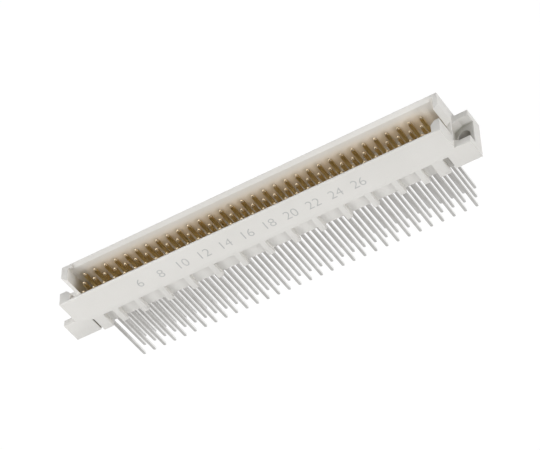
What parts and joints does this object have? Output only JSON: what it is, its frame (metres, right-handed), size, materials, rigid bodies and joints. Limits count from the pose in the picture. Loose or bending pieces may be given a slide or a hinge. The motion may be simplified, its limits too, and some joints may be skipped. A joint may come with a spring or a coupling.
{
  "type": "backplane connector",
  "caption": "Long three-row male header for a backplane: a moulded shroud around a field of blade contacts, long square tails through the board and a screw flange at each end.",
  "frame": {"origin": "on the board's surface, which the ribs and feet stand on, in the middle of the contact field: between its two middle columns and on its middle row", "axes": "+X along the rows of contacts, towards the picture's right end; +Y across the rows, away from the long face that carries the marking; +Z out of the board, in the mating direction"},
  "size_m": [0.0944, 0.0106, 0.024],
  "materials": {
    "housing_plastic": "light warm grey moulded plastic, finely matt",
    "contact_plating": "copper alloy, gold plated on the blade and bright tin on the tail"
  },
  "bodies": {
    "root": {"housing": "housing_plastic", "contact_a01": "contact_plating", "contact_a03": "contact_plating", "contact_a05": "contact_plating", "contact_a07": "contact_plating", "contact_a09": "contact_plating", "contact_a11": "contact_plating", "contact_a13": "contact_plating", "contact_a15": "contact_plating", "contact_a17": "contact_plating", "contact_a19": "contact_plating", "contact_a21": "contact_plating", "contact_a23": "contact_plating", "contact_a25": "contact_plating", "contact_a27": "contact_plating", "contact_a29": "contact_plating", "contact_a31": "contact_plating", "contact_b01": "contact_plating", "contact_b03": "contact_plating", "contact_b05": "contact_plating", "contact_b07": "contact_plating", "contact_b09": "contact_plating", "contact_b11": "contact_plating", "contact_b13": "contact_plating", "contact_b15": "contact_plating", "contact_b17": "contact_plating", "contact_b19": "contact_plating", "contact_b21": "contact_plating", "contact_b23": "contact_plating", "contact_b25": "contact_plating", "contact_b27": "contact_plating", "contact_b29": "contact_plating", "contact_b31": "contact_plating", "contact_c01": "contact_plating", "contact_c03": "contact_plating", "contact_c05": "contact_plating", "contact_c07": "contact_plating", "contact_c09": "contact_plating", "contact_c11": "contact_plating", "contact_c13": "contact_plating", "contact_c15": "contact_plating", "contact_c17": "contact_plating", "contact_c19": "contact_plating", "contact_c21": "contact_plating", "contact_c23": "contact_plating", "contact_c25": "contact_plating", "contact_c27": "contact_plating", "contact_c29": "contact_plating", "contact_c31": "contact_plating"}
  },
  "joints": []
}
